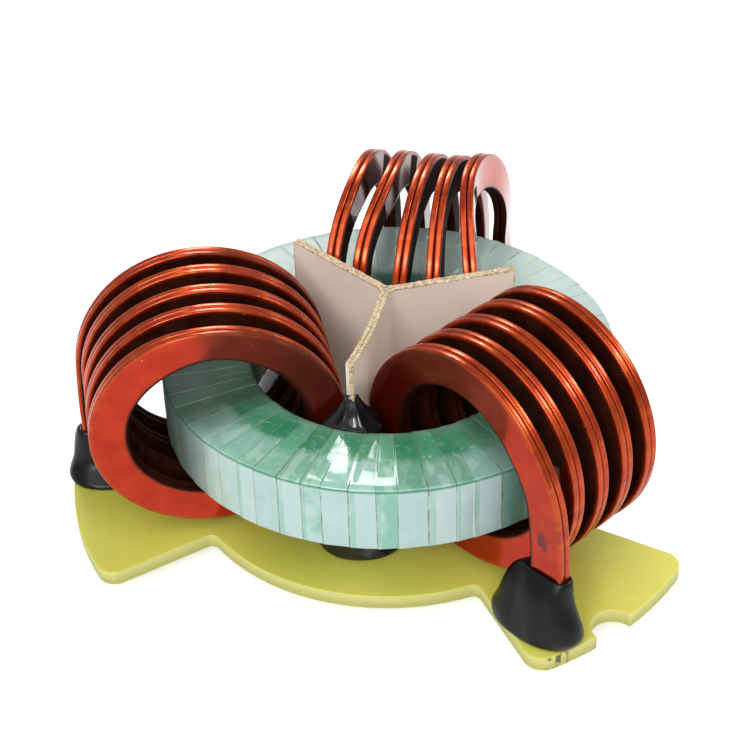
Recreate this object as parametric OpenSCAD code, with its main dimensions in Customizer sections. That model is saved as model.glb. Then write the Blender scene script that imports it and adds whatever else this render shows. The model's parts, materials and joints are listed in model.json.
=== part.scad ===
// Three-phase common-mode choke: a taped ring core over an insulating base plate, with three
// edge-wound coils of paired flat wire and a folded pressboard divider in the middle.
// Millimetres, +Z up. The origin lies on the ring's axis at the underside of the base plate,
// which is the face that seats on a circuit board. Each coil has an outer lead at its clockwise
// end and an inner lead, inside the ring, at its other end.

/* [Ring core] */
// Outer diameter of the bare ferrite ring
core_od = 86.6; // [80:0.1:106]
// Inner diameter of the bare ferrite ring
core_id = 53.7; // [44:0.1:65]
// Height of the bare ferrite ring
core_h = 12.7; // [8:0.1:18]
// Radius of the ring's outer edges
core_outer_edge_r = 0.7; // [0.3:0.1:2]
// Radius of the ring's inner edges
core_inner_edge_r = 2; // [0.3:0.1:3.5]
// Thickness of the tape wrap
tape_t = 0.3; // [0.1:0.05:0.6]

/* [Flat wire] */
// Width of the flat wire
wire_w = 7.1; // [4:0.1:8.6]
// Thickness of the flat wire
wire_t = 1.3; // [0.8:0.05:1.6]
// Radius by which the wire's corners are eased
wire_corner = 0.35; // [0.1:0.01:0.4]
// Air between the two wires of a pair
pair_gap = 0.17; // [0.1:0.01:0.4]

/* [Coils] */
// Passes over the top of each coil
passes = 5; // [3:1:5]
// Flat pieces in each turn of wire
turn_steps = 24; // [16:4:32]
// Room between the taped ring and the inside of each coil, across the ring
coil_room_x = [7.4, 7.4, 8.1]; // [6:0.1:10]
// Room between the mid-height of the coils and the taped ring's reach, above and below
coil_room_z = 9.05; // [7:0.05:12]
// Distance from the ring's mean circle in to the middle of each coil
coil_inset = [1.7, 0.8, 0.3]; // [0:0.1:2]
// Direction in which each coil lies
coil_azimuth = [328.1, 91.5, 211.2]; // [0:0.1:360]
// Turn of each coil's axis out of the ring's tangent
coil_twist = [1.65, 3, -4.95]; // [-6:0.05:6]
// Room between the sleeved lead of the tightest coil and the divider's arm
coil_end_gap = 0.15; // [0.05:0.05:4]
// Least room between a coil's innermost corners and the wall of the ring's hole
hole_wall_gap = 0.5; // [0.2:0.1:2]
// Distance from the coils' axes down to the middle of the ring
ring_drop = 4.35; // [0:0.05:5]
// Distance by which the outer lead stands out from its coil
lead_out = 1.5; // [0:0.1:2]
// Lean of the outer lead along its coil, as a share of the room between two turns
lead_lean = 0.41; // [0:0.01:0.5]
// Length of the bare lead ends below the base plate
tail_h = 3; // [2:0.5:6]

/* [Base plate] */
// Thickness of the plate
plate_t = 3; // [1.6:0.1:5]
// Distance from the outside of the taped ring in to the rim of the plate's round middle
disc_inset = 3.2; // [1:0.1:6]
// Distance from the furthest coil out to the rim of the lobes
lobe_margin = 4.7; // [3:0.1:10]
// Margin between a lead boot's foot and the side of its lobe
lobe_side_margin = 0.3; // [0.3:0.1:3]
// Turn of each lobe's middle away from its coil
lobe_turn = [-0.8, -1, -2.3]; // [-4:0.1:0]
// Radius of the lobes' corners
lobe_corner_r = 3.6; // [1:0.1:6]
// Radius of the inside corners where a lobe meets the round middle
lobe_root_r = 1.6; // [0.5:0.1:4]
// Radius of the notch in the first lobe's rim
notch_r = 4.2; // [2:0.1:5]
// Turn of the notch away from its coil
notch_turn = -3.5; // [-4:0.1:4]
// Clearance between a pair of wires and its slot
slot_gap = 0.2; // [0.1:0.05:0.3]
// Distance from the plate up to the underside of the coils
coil_foot_gap = 2.6; // [1:0.1:8]

/* [Divider] */
// Height of the divider above the base plate
divider_h = 40.9; // [34:0.1:46]
// Room between the end of each arm and the taped ring
arm_gap = 1.35; // [0.5:0.05:4]
// Thickness of one sheet of pressboard
board_t = 0.75; // [0.4:0.05:0.8]
// Glue line between the two sheets of an arm
glue_gap = 0.1; // [0.05:0.01:0.2]

/* [Lead boots and sleeves] */
// Height of the boots on the outer leads
boot_h = 13; // [8:0.1:14]
// Rise of the boots' tops for each millimetre inwards
boot_slant = 0.01; // [0:0.01:0.1]
// Lip of a boot beyond the wires, outwards and along the coil
boot_lip = 0.9; // [0.6:0.1:1.2]
// Reach of a boot's mouth beyond the wires, inwards
boot_reach_in = 3.8; // [2:0.1:6]
// Reach of a boot's mouth in front of the wires
boot_reach_front = 2.4; // [1:0.1:3]
// Reach of a boot's foot beyond the wires, inwards
foot_reach_in = 8.3; // [6:0.1:10]
// Reach of a boot's foot beyond the wires, outwards
foot_reach_out = 2.8; // [1.2:0.1:3]
// Reach of a boot's foot in front of the wires
foot_reach_front = 4.9; // [3:0.1:6]
// Reach of a boot's foot behind the wires
foot_reach_back = 3.9; // [1.2:0.1:4.2]
// Height of the close sleeves on the inner leads
sleeve_h = 8; // [5:0.5:10]
// Wall of the close sleeves
sleeve_wall = 0.3; // [0.2:0.05:0.4]

/* [Potting] */
// Height by which the potting climbs above the taped ring
potting_rise = 6.6; // [2:0.1:8]
// Radius of the potting's foot on the plate
potting_foot = 7.6; // [6:0.1:9]
// Radius of the potting's waist, inside the ring
potting_waist = 4.6; // [3:0.1:6]
// Radius of the potting level with the top of the ring
potting_lap = 5.4; // [4:0.1:7]
// Width of the potting's rest on the ring's rounded inner edge
potting_rest = 1; // [0.5:0.1:3]
// Bond line between the potting and what it holds
bond_gap = 0.05; // [0.03:0.01:0.1]

/* [Hidden] */
$fn = 96;

arm_azimuth = [270, 30, 150];                         // arm a lies between coils c and a
ring_mean_r = (core_od + core_id) / 4;
ring_half_w = (core_od - core_id) / 4 + tape_t;       // half width of the taped ring
ring_half_h = core_h / 2 + tape_t;                    // half height of the taped ring
ring_hole_r = core_id / 2 - tape_t;
arm_half_t = board_t + glue_gap / 2;
divider_arm = ring_hole_r - arm_gap;                  // length of an arm from the ring's axis

coil_half_w = [for (room = coil_room_x) ring_half_w + room + wire_w];
coil_half_h = ring_half_h + coil_room_z + wire_w;
coil_mid_r = [for (inset = coil_inset) ring_mean_r - inset];
axis_z = plate_t + coil_foot_gap + coil_half_h;       // height of the coils' axes
ring_mid_z = axis_z - ring_drop;

pair_t = 2 * wire_t + pair_gap;                       // both wires of a pair, with their gap
wire_step = wire_t + pair_gap;                        // from the first wire to the second
// Half the length that fits between two arms at the innermost corner of the tightest coil
room_between_arms = min([for (i = [0 : 2]) (coil_mid_r[i] - coil_half_w[i]) * tan(60)])
    - arm_half_t / cos(60) - bond_gap - sleeve_wall - coil_end_gap;
// Half the length at which an innermost corner meets the wall of the ring's hole, less that room
room_in_hole = min([for (i = [0 : 2])
    sqrt(pow(ring_hole_r, 2) - pow(coil_mid_r[i] * cos(coil_twist[i]) - coil_half_w[i] + wire_w, 2))
        - coil_mid_r[i] * abs(sin(coil_twist[i]))])
    - hole_wall_gap;
coil_half_len = min(room_between_arms, room_in_hole);
turns = passes - 0.5;
turn_pitch = (2 * coil_half_len - pair_t) / turns;
turn_room = turn_pitch - pair_t;                      // room between two turns
lean = lead_lean * turn_room;
boot_back = min(boot_lip, 0.25 * turn_room);          // so that the boots stay clear of the next turn

disc_r = ring_mean_r + ring_half_w - disc_inset;
lobe_r = max([for (i = [0 : 2]) coil_mid_r[i] + coil_half_w[i]]) + lobe_margin;

potting_mid_r = divider_arm - 1;
reach = 2 * lobe_r;                                   // longer than any radius of the part

// ---------- helpers ----------

function polar(r, a) = [r * cos(a), r * sin(a)];
function turned(p, a) = [p[0] * cos(a) - p[1] * sin(a), p[0] * sin(a) + p[1] * cos(a)];
// Points of an arc, without the last, so that arcs can follow one another.
function arc(c, r, from, to, steps) = [for (i = [0 : steps - 1]) c + polar(r, from + (to - from) * i / steps)];
// Points of a quarter circle, both ends included.
function quarter(c, r, from, steps) = [for (i = [0 : steps]) c + polar(r, from + 90 * i / steps)];
function smooth(u) = u <= 0 ? 0 : u >= 1 ? 1 : u * u * (3 - 2 * u);

// Two triangles for each side of the bands between ring k and ring k + 1, with n points to a ring.
function band(k, next, n) = [for (i = [0 : n - 1]) let (j = (i + 1) % n)
    each [[k * n + i, next * n + i, next * n + j], [k * n + i, next * n + j, k * n + j]]];

// Solid along rings of points that all have the same count, closed at both ends.
module loft(rings) {
    n = len(rings[0]);
    m = len(rings);
    sides = [for (k = [0 : m - 2]) each band(k, k + 1, n)];
    ends = [for (i = [1 : n - 2]) each [[0, i, i + 1], [(m - 1) * n, (m - 1) * n + i + 1, (m - 1) * n + i]]];
    polyhedron(points = [for (ring = rings) each ring], faces = concat(sides, ends), convexity = 10);
}

// Solid along rings of points where the last ring meets the first, such as a sleeve.
module loft_round(rings) {
    n = len(rings[0]);
    m = len(rings);
    polyhedron(points = [for (ring = rings) each ring],
               faces = [for (k = [0 : m - 1]) each band(k, (k + 1) % m, n)], convexity = 10);
}

// Places what is drawn in coil i's own frame: x outwards, y anticlockwise along the coil.
module in_coil(i) {
    rotate([0, 0, coil_azimuth[i]]) translate([coil_mid_r[i], 0, 0]) rotate([0, 0, coil_twist[i]])
        children();
}

// ---------- ring core and tape ----------

// Half section of the ring, grown on every side by "grow".
module ring_section(grow) {
    inner = core_id / 2 - grow;
    outer = core_od / 2 + grow;
    low = ring_mid_z - core_h / 2 - grow;
    high = ring_mid_z + core_h / 2 + grow;
    ri = core_inner_edge_r + grow;
    ro = core_outer_edge_r + grow;
    polygon(concat(
        quarter([outer - ro, low + ro], ro, -90, 5), quarter([outer - ro, high - ro], ro, 0, 5),
        quarter([inner + ri, high - ri], ri, 90, 6), quarter([inner + ri, low + ri], ri, 180, 6)));
}

module ferrite_core() {
    color("dimgray") rotate_extrude() ring_section(0);
}

module tape_wrap() {
    color("mediumaquamarine") rotate_extrude() difference() {
        ring_section(tape_t);
        ring_section(0);
    }
}

// ---------- coils ----------

part_angle = 50;                                      // where the outer lead starts to part
part_top = axis_z + coil_half_h * sin(part_angle);
part_end = plate_t + boot_h + 1.5;                    // the outer lead is upright from here down

// Share of the outer lead's offset at height z.
function parting(z) = smooth((part_top - z) / (part_top - part_end));

// Corner points of the wire's section: depth in from the outside, then place across the wire.
section = let (c = wire_corner, w = wire_w, t = wire_t)
    [[0, c], [c, 0], [w - c, 0], [w, c], [w, t - c], [w - c, t], [c, t], [0, t - c]];

// Section of the wire on its turn, at an angle from the outside of the coil.
function turn_ring(i, angle, shift) = let (
        along = shift - coil_half_len + turn_pitch * angle / 360,
        share = angle < part_angle ? parting(axis_z + coil_half_h * sin(angle)) : 0)
    [for (s = section) [(coil_half_w[i] - s[0]) * cos(angle) + share * lead_out,
                        along + s[1] + share * lean,
                        axis_z + (coil_half_h - s[0]) * sin(angle)]];

// Section of the outer lead, at height z.
function outer_lead_ring(i, z, shift) = [for (s = section)
    [coil_half_w[i] - s[0] + parting(z) * lead_out, shift - coil_half_len + s[1] + parting(z) * lean, z]];

// Section of the inner lead, at height z.
function inner_lead_ring(i, z, shift) = [for (s = section)
    [s[0] - coil_half_w[i], shift - coil_half_len + turn_pitch * turns + s[1], z]];

module coil_wire(i, shift) {
    color(shift > 0 ? "orangered" : "firebrick") in_coil(i) loft(concat(
        [for (z = [-tail_h, part_end, (2 * part_end + axis_z) / 3, (part_end + 2 * axis_z) / 3])
            outer_lead_ring(i, z, shift)],
        [for (k = [0 : turns * turn_steps]) turn_ring(i, 360 * k / turn_steps, shift)],
        [inner_lead_ring(i, -tail_h, shift)]));
}

// Middle of the pair of wires in an outer lead, in its coil's frame.
function outer_lead_middle(i) = [coil_half_w[i] + lead_out - wire_w / 2, lean - coil_half_len + pair_t / 2];

// Middle of the pair of wires in an inner lead, in its coil's frame.
function inner_lead_middle(i) = [wire_w / 2 - coil_half_w[i], coil_half_len - pair_t / 2];

// Direction and distance of an outer lead, seen from the ring's axis.
function lead_place(i) = [coil_mid_r[i], 0] + turned(outer_lead_middle(i), coil_twist[i]);
function lead_azimuth(i) = coil_azimuth[i] + atan2(lead_place(i)[1], lead_place(i)[0]);

// Upright block round a pair of wires, with a gap on every side.
module pair_block(middle, low, high, gap) {
    translate([middle[0] - wire_w / 2 - gap, middle[1] - pair_t / 2 - gap, low])
        cube([wire_w + 2 * gap, pair_t + 2 * gap, high - low]);
}

// ---------- base plate ----------

// Angle that a rounded corner takes off each side of a lobe.
corner_angle = asin(lobe_corner_r / (lobe_r - lobe_corner_r));
// Angle from a lobe's side to the middle of its root fillet.
root_angle = asin(lobe_root_r / (disc_r + lobe_root_r));

function lobe_azimuth(i) = coil_azimuth[i] + lobe_turn[i];
function lobe_half_angle(i) = lobe_azimuth(i) - lead_azimuth(i)
    + asin((pair_t / 2 + foot_reach_front + lobe_side_margin) / norm(lead_place(i)));

// Corner of a lobe at direction a, as an arc that starts or ends square to the lobe's side.
function lobe_corner(a, from, to) = arc(polar(lobe_r - lobe_corner_r, a), lobe_corner_r, from, to, 7);

// Fillet at the foot of a lobe's side, round a middle at direction a.
function lobe_root(a, from, to) = arc(polar(disc_r + lobe_root_r, a), lobe_root_r, from, to, 6);

// Outline of lobe i, anticlockwise from the rim of the round middle and back to it.
function lobe_outline(i) = let (
        first = lobe_azimuth(i) - lobe_half_angle(i),
        last = lobe_azimuth(i) + lobe_half_angle(i))
    concat(
        lobe_root(first - root_angle, first - root_angle + 180, first + 90),
        lobe_corner(first + corner_angle, first - 90, first + corner_angle),
        arc([0, 0], lobe_r, first + corner_angle, last - corner_angle, 20),
        lobe_corner(last - corner_angle, last - corner_angle, last + 90),
        lobe_root(last + root_angle, last - 90, last + root_angle - 180));

// Rim of the round middle from lobe i to lobe k, which starts at a larger angle.
function rim_between(i, k, full_turn) = arc([0, 0], disc_r,
    lobe_azimuth(i) + lobe_half_angle(i) + root_angle,
    lobe_azimuth(k) - lobe_half_angle(k) - root_angle + full_turn, 24);

module base_plate() {
    color("khaki") difference() {
        linear_extrude(plate_t) difference() {
            polygon(concat(lobe_outline(1), rim_between(1, 2, 0), lobe_outline(2), rim_between(2, 0, 0),
                           lobe_outline(0), rim_between(0, 1, 360)));
            translate(polar(lobe_r, coil_azimuth[0] + notch_turn)) circle(notch_r);
        }
        for (i = [0 : 2]) in_coil(i) {
            pair_block(outer_lead_middle(i), -1, plate_t + 1, slot_gap);
            pair_block(inner_lead_middle(i), -1, plate_t + 1, slot_gap);
        }
    }
}

// ---------- divider ----------

// Point beside an arm, at a distance along it and off its middle plane.
function beside(a, along, off) = polar(along, a) + polar(off, a + 90);

// Sheet folded to 120 degrees, lying along two arms.
module divider_sheet(i) {
    near = glue_gap / 2;
    from = arm_azimuth[i];
    to = from + 120;
    color("wheat") translate([0, 0, plate_t]) linear_extrude(divider_h)
        polygon([beside(from, divider_arm, near), beside(from, divider_arm, arm_half_t),
                 polar(arm_half_t / sin(60), from + 60),
                 beside(to, divider_arm, -arm_half_t), beside(to, divider_arm, -near),
                 polar(near / sin(60), from + 60)]);
}

// ---------- lead boots and sleeves ----------

// Ring of points round a pair of wires, that reaches beyond them by an inward, an outward, a
// front and a back distance. It runs from an oval to a rounded oblong as "squareness" grows.
function boot_ring(c, beyond, squareness, z, slope) = let (
        hx = (wire_w + beyond[0] + beyond[1]) / 2,
        hy = (pair_t + beyond[2] + beyond[3]) / 2,
        middle = c + [beyond[1] - beyond[0], beyond[3] - beyond[2]] / 2)
    [for (k = [0 : 23]) let (
        a = -15 * k,
        x = hx * pow(abs(cos(a)), 1 - squareness) * sign(cos(a)),
        y = hy * pow(abs(sin(a)), 1 - squareness) * sign(sin(a)))
    [middle[0] + x, middle[1] + y, plate_t + z - slope * x]];

// Boot on the outer lead of coil i: a bell that is set fast round the pair of wires.
module lead_boot(i) {
    c = outer_lead_middle(i);
    foot = [foot_reach_in, foot_reach_out, foot_reach_front, foot_reach_back];
    mouth = [boot_reach_in, boot_lip, boot_reach_front, boot_back];
    narrow_foot = [foot_reach_in - 0.6, foot_reach_out - 0.4, foot_reach_front - 0.4, boot_back + 0.1];
    rings = [
        boot_ring(c, foot, 0.1, 0, 0),
        boot_ring(c, foot, 0.1, 1.2, 0),
        boot_ring(c, narrow_foot, 0.12, 0.23 * boot_h, 0),
        boot_ring(c, 0.55 * foot + 0.45 * mouth + [0, 0, 0, 0.55 * (boot_back - foot_reach_back)],
                  0.18, 0.48 * boot_h, 0),
        boot_ring(c, 0.22 * foot + 0.78 * mouth + [0, 0, 0, 0.22 * (boot_back - foot_reach_back)],
                  0.25, 0.73 * boot_h, 0),
        boot_ring(c, mouth, 0.3, boot_h - 0.7, boot_slant),
        boot_ring(c, mouth - [0.5, 0.2, 0.6, 0.2], 0.35, boot_h, boot_slant)];
    color("#222428") in_coil(i) difference() {
        loft(rings);
        pair_block(c, plate_t - 1, plate_t + boot_h + 2, bond_gap);
    }
}

module inner_sleeve(i) {
    color("#1d1f22") in_coil(i) difference() {
        pair_block(inner_lead_middle(i), plate_t, plate_t + sleeve_h, bond_gap + sleeve_wall);
        pair_block(inner_lead_middle(i), plate_t - 1, plate_t + sleeve_h + 1, bond_gap);
    }
}

// ---------- potting ----------

// Outline of a potting blob: a broad foot, a waist inside the ring and a tent over its inner edge.
module potting_section() {
    low = ring_mid_z - ring_half_h;
    high = ring_mid_z + ring_half_h;
    polygon([[0, plate_t], [potting_foot, plate_t], [potting_foot - 0.3, plate_t + 1.2],
             [0.8 * potting_foot, plate_t + 3.2], [potting_waist + 1, (plate_t + 2 * low) / 3],
             [potting_waist, low], [potting_waist, ring_mid_z], [0.93 * potting_lap, high - 1.2],
             [potting_lap, high - 0.4], [0.84 * potting_lap, high + 0.12 * potting_rise],
             [0.52 * potting_lap, high + 0.42 * potting_rise], [0.34 * potting_lap, high + 0.62 * potting_rise],
             [1.3, high + 0.93 * potting_rise], [0.9, high + potting_rise], [0, high + potting_rise]]);
}

// Potting at the end of arm i, cut away where the inner lead of the coil before it comes down.
module potting(i) {
    before = (i + 2) % 3;
    gap = sleeve_wall + 2 * bond_gap;
    rest_r = ring_hole_r + potting_rest;              // outermost radius of the potting on the ring
    color("#141416") difference() {
        rotate([0, 0, arm_azimuth[i]]) translate([potting_mid_r, 0, 0])
            rotate_extrude() potting_section();
        rotate_extrude() ring_section(tape_t + bond_gap);
        rotate_extrude() translate([rest_r, ring_mid_z]) square([reach, reach]);
        rotate([0, 0, arm_azimuth[i]]) translate([0, -arm_half_t - bond_gap, plate_t - 1])
            cube([divider_arm + bond_gap, 2 * (arm_half_t + bond_gap), divider_h + 2]);
        in_coil(before) translate([-reach - coil_half_w[before] + wire_w + gap,
                                   coil_half_len + gap - reach, plate_t - 1])
            cube([reach, reach, reach]);
    }
}

base_plate();
ferrite_core();
tape_wrap();
divider_sheet(0);  // divider_sheet_a
divider_sheet(1);  // divider_sheet_b
divider_sheet(2);  // divider_sheet_c
coil_wire(0, 0);  // coil_a_wire_1
coil_wire(0, wire_step);  // coil_a_wire_2
coil_wire(1, 0);  // coil_b_wire_1
coil_wire(1, wire_step);  // coil_b_wire_2
coil_wire(2, 0);  // coil_c_wire_1
coil_wire(2, wire_step);  // coil_c_wire_2
lead_boot(0);  // lead_boot_a
lead_boot(1);  // lead_boot_b
lead_boot(2);  // lead_boot_c
inner_sleeve(0);  // inner_sleeve_a
inner_sleeve(1);  // inner_sleeve_b
inner_sleeve(2);  // inner_sleeve_c
potting(0);  // potting_a
potting(1);  // potting_b
potting(2);  // potting_c
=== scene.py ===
import json
from math import atan2, cos, floor, hypot, pi, radians, sin
import bmesh
import bpy
from mathutils import Matrix, Vector, noise


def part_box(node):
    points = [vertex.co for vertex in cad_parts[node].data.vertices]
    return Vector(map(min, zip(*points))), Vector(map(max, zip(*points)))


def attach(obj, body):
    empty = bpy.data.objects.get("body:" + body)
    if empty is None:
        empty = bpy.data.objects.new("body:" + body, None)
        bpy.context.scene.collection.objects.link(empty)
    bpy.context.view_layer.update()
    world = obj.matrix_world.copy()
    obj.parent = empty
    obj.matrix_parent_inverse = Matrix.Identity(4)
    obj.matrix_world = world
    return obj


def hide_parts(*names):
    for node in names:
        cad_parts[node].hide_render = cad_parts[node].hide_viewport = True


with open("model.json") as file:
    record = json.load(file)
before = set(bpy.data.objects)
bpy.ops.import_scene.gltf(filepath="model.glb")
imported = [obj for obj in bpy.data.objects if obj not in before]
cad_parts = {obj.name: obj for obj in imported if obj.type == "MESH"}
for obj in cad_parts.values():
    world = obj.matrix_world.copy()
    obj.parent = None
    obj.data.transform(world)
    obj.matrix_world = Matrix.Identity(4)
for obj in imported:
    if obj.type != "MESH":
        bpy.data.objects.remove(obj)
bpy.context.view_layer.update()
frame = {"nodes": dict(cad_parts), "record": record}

# A three-phase common-mode choke: enamelled flat wire in pairs, a ring lapped with film tape, a
# pressboard divider, a glass-epoxy plate, black lead boots and black potting, all in the places
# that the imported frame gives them.


# ---------- sizes, in metres ----------

mm = 0.001
TAU = 2 * pi

PLATE_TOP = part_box("base_plate")[1].z
STANDS_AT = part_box("coil_a_wire_1")[0].z               # underside of the lead ends

ring_low, ring_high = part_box("tape_wrap")
RING_R = ring_high.x
RING_HOLE_R = 26.4 * mm
RING_LOW = ring_low.z - 0.35 * mm                      # the wrap bulges a little below and above
RING_TOP = ring_high.z + 0.12 * mm
RING_OUTER_EDGE_R = 0.6 * mm
RING_INNER_EDGE_R = 1.3 * mm

WIRE_W = 7.1 * mm
WIRE_T = 1.3 * mm
WIRE_CORNER_R = 0.34 * mm
WIRE_STEP = WIRE_T + 0.17 * mm                         # from one wire of a pair to the other
PAIR_T = WIRE_STEP + WIRE_T
COIL_HALF_H = 22.8 * mm
COIL_AXIS_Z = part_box("coil_a_wire_1")[1].z - COIL_HALF_H
COIL_HALF_LEN = 15.83 * mm
TURNS = 4.5
TURN_PITCH = (2 * COIL_HALF_LEN - PAIR_T) / TURNS
LEAD_OUT = 1.5 * mm                                    # how far an outer lead stands off its coil
LEAD_LEAN = 1.5 * mm                                   # and how far it leans along it

ARM_AZIMUTH = {"a": radians(270), "b": radians(30), "c": radians(150)}
ARM_LEN = 25.2 * mm
BOARD_T = 0.75 * mm
GLUE_GAP = 0.1 * mm
DIVIDER_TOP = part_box("divider_sheet_a")[1].z

BOOT_H = 13 * mm
POTTING_R = 24.2 * mm                                  # from the ring's axis to the middle of a blob


class Coil:
    """One coil's place, and how its turns wander. Its own frame has x outwards, y anticlockwise
    along the coil and z up. For each pass, tops lists how far it lies along the coil, how far up,
    and how far its inner edge leans along it, and insides the same without the height. Haste is
    how soon each pass gets from its place at the top to that inside. The outer lead's own drift is
    lead_along."""

    def __init__(self, letter, azimuth, twist, mid_r, half_w, lead_along, tops, insides, haste, seed):
        self.letter = letter
        self.half_w = half_w * mm
        self.place = (Matrix.Rotation(radians(azimuth), 4, "Z") @ Matrix.Translation((mid_r * mm, 0, 0))
                      @ Matrix.Rotation(radians(twist), 4, "Z"))
        self.lead_along = lead_along * mm
        self.tops = tops
        self.insides = insides
        self.haste = haste
        self.seed = seed


COILS = [
    Coil("a", 328.1, 1.65, 33.375, 23.025, 0,
         [(0.0, 0.4, 0.02), (0.1, 0.1, 0.03), (-0.1, 0, 0), (0.1, 0, -0.02), (0, 0, 0)],
         [(-0.75, 0.2), (0.1, 0), (0, 0), (-0.1, 0), (0, 0)], (1, 1, 1, 1, 1), 1.0),
    Coil("b", 91.5, 3.0, 34.275, 23.025, 0.8,
         [(3.9, 0.1, 0), (2.45, -0.9, 0.04), (0.9, -0.95, 0), (0.6, -0.8, 0.03), (0.45, -1.0, 0)],
         [(-1.4, 0), (0.2, 0), (0.8, 0), (2.6, 0), (1.45, 0)], (1, 1, 1.6, 1.5, 1.6), 2.0),
    Coil("c", 211.2, -4.95, 34.775, 23.725, 0,
         [(0.1, 0, 0), (-0.1, 0, 0), (0.1, 0, -0.02), (0, 0, -0.05), (0, 0, -0.27)],
         [(0, 0), (0, 0), (0.1, 0), (0, 0), (0, -0.2)], (1, 1, 1, 1, 1), 3.0),
]


# ---------- camera ----------

def placed(name, data):
    """A new object in the scene."""
    thing = bpy.data.objects.new(name, data)
    bpy.context.scene.collection.objects.link(thing)
    return thing


def make_camera():
    distance, azimuth, elevation = 371.19 * mm, radians(16.28), radians(38.851)
    pan, tip, roll = radians(0.422), radians(2.591), radians(1.501)
    aim = Vector((0, 0, PLATE_TOP))
    back = Vector((sin(azimuth) * cos(elevation), -cos(azimuth) * cos(elevation), sin(elevation)))
    ahead = -back
    right = Vector((cos(azimuth), sin(azimuth), 0))
    up = right.cross(ahead)
    # Aimed a little off the ring's axis, and rolled a little
    turn = Matrix.Rotation(pan, 3, up)
    ahead, right = turn @ ahead, turn @ right
    turn = Matrix.Rotation(tip, 3, right)
    ahead, up = turn @ ahead, turn @ up
    turn = Matrix.Rotation(roll, 3, ahead)
    right, up = turn @ right, turn @ up
    camera = placed("camera", bpy.data.cameras.new("camera"))
    camera.data.sensor_width = 36
    camera.data.lens = 88.66
    camera.data.clip_start = 0.01
    camera.data.clip_end = 20
    turned = Matrix((right, up, -ahead)).transposed().to_4x4()
    camera.matrix_world = Matrix.Translation(aim + back * distance) @ turned
    bpy.context.scene.camera = camera


# ---------- shader maths as plain expressions ----------

class Value:
    """One output of a shader's nodes, on which ordinary arithmetic adds Math nodes."""

    def __init__(self, shading, socket):
        self.shading = shading
        self.socket = socket

    def maths(self, operation, *values, clamp=False):
        return self.shading.add("ShaderNodeMath", {"operation": operation, "use_clamp": clamp},
                                dict(enumerate(values)))

    def __add__(self, other):
        return self.maths("ADD", self, other)

    def __sub__(self, other):
        return self.maths("SUBTRACT", self, other)

    def __rsub__(self, other):
        return self.maths("SUBTRACT", other, self)

    def __mul__(self, other):
        return self.maths("MULTIPLY", self, other)

    def __truediv__(self, other):
        return self.maths("DIVIDE", self, other)

    __radd__ = __add__
    __rmul__ = __mul__

    def most(self, other):
        return self.maths("MAXIMUM", self, other)

    def clamped(self):
        return self.maths("ADD", self, 0, clamp=True)

    def floored(self):
        return self.maths("FLOOR", self)

    def size(self):
        return self.maths("ABSOLUTE", self)

    def root(self):
        return self.maths("SQRT", self)

    def sine(self):
        return self.maths("SINE", self)

    def over(self, low, high):
        """0 below low, 1 above high and smooth between."""
        return self.shading.add("ShaderNodeMapRange", {"interpolation_type": "SMOOTHSTEP"},
                                {"Value": self, "From Min": low, "From Max": high})

    def under(self, low, high):
        """1 below low, 0 above high and smooth between."""
        return 1 - self.over(low, high)


class Shading:
    """The nodes of one material, or of the world."""

    def __init__(self, owner):
        owner.use_nodes = True
        self.owner = owner
        self.tree = owner.node_tree
        self.tree.nodes.clear()

    def add(self, kind, settings=None, inputs=None, output=0):
        node = self.tree.nodes.new(kind)
        for name, value in (settings or {}).items():
            setattr(node, name, value)
        for name, value in (inputs or {}).items():
            socket = node.inputs[name]
            if isinstance(value, Value):
                self.tree.links.new(value.socket, socket)
            elif socket.type == "RGBA":
                socket.default_value = (*value, 1)
            else:
                socket.default_value = value
        return Value(self, node.outputs[output]) if node.outputs else None

    def here(self):
        return self.add("ShaderNodeTexCoord", output="Object")

    def noise(self, scale, detail=2, place=None, distortion=0.0):
        return self.add("ShaderNodeTexNoise", {}, {"Vector": place or self.here(), "Scale": scale,
                                                   "Detail": detail, "Distortion": distortion}, "Fac")

    def spots(self, scale):
        """Distance to the nearest of many scattered points, in cells."""
        return self.add("ShaderNodeTexVoronoi", {}, {"Vector": self.here(), "Scale": scale}, "Distance")

    def chance(self, seed):
        """A random number for each value of seed."""
        return self.add("ShaderNodeTexWhiteNoise", {"noise_dimensions": "1D"}, {"W": seed}, "Value")

    def stretched(self, x, y, z):
        return self.add("ShaderNodeVectorMath", {"operation": "MULTIPLY"},
                        {0: self.here(), 1: (x, y, z)})

    def xyz(self):
        return [self.add("ShaderNodeSeparateXYZ", {}, {0: self.here()}, axis) for axis in "XYZ"]

    def vector(self, x, y, z):
        return self.add("ShaderNodeCombineXYZ", {}, {"X": x, "Y": y, "Z": z})

    def attribute(self, name):
        return self.add("ShaderNodeAttribute", {"attribute_name": name}, {}, "Fac")

    def mix(self, amount, first, second):
        """Colour from first to second."""
        return self.add("ShaderNodeMix", {"data_type": "RGBA"}, {0: amount, 6: first, 7: second}, 2)

    def bump(self, height, distance, strength=1.0, below=None):
        inputs = {"Height": height, "Distance": distance, "Strength": strength}
        if below is not None:
            inputs["Normal"] = below
        return self.add("ShaderNodeBump", {}, inputs)

    def surface(self, **inputs):
        """Ends the nodes in a Principled shader; underscores in names stand for spaces."""
        named = {name.replace("_", " "): value for name, value in inputs.items()}
        shader = self.add("ShaderNodeBsdfPrincipled", {}, named)
        self.add("ShaderNodeOutputMaterial", {}, {"Surface": shader})
        return self.owner


def new_material(name):
    return Shading(bpy.data.materials.new(name))


# ---------- materials ----------

# What each point of a wire's mesh knows: metres along the wire and from the outside of the coil,
# whether it is on the rounded edge or on the stained lead, how much painted shade it gets where it is
# shut in, and how clear its enamel is
WIRE_LAYERS = ("along", "depth", "edge", "marked", "inside", "clear")


def draw_lines(s):
    """Faint lines along the wire."""
    return s.noise(1.0, 3, s.vector(s.attribute("along") * 45, s.attribute("depth") * 1700, 0))


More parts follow.
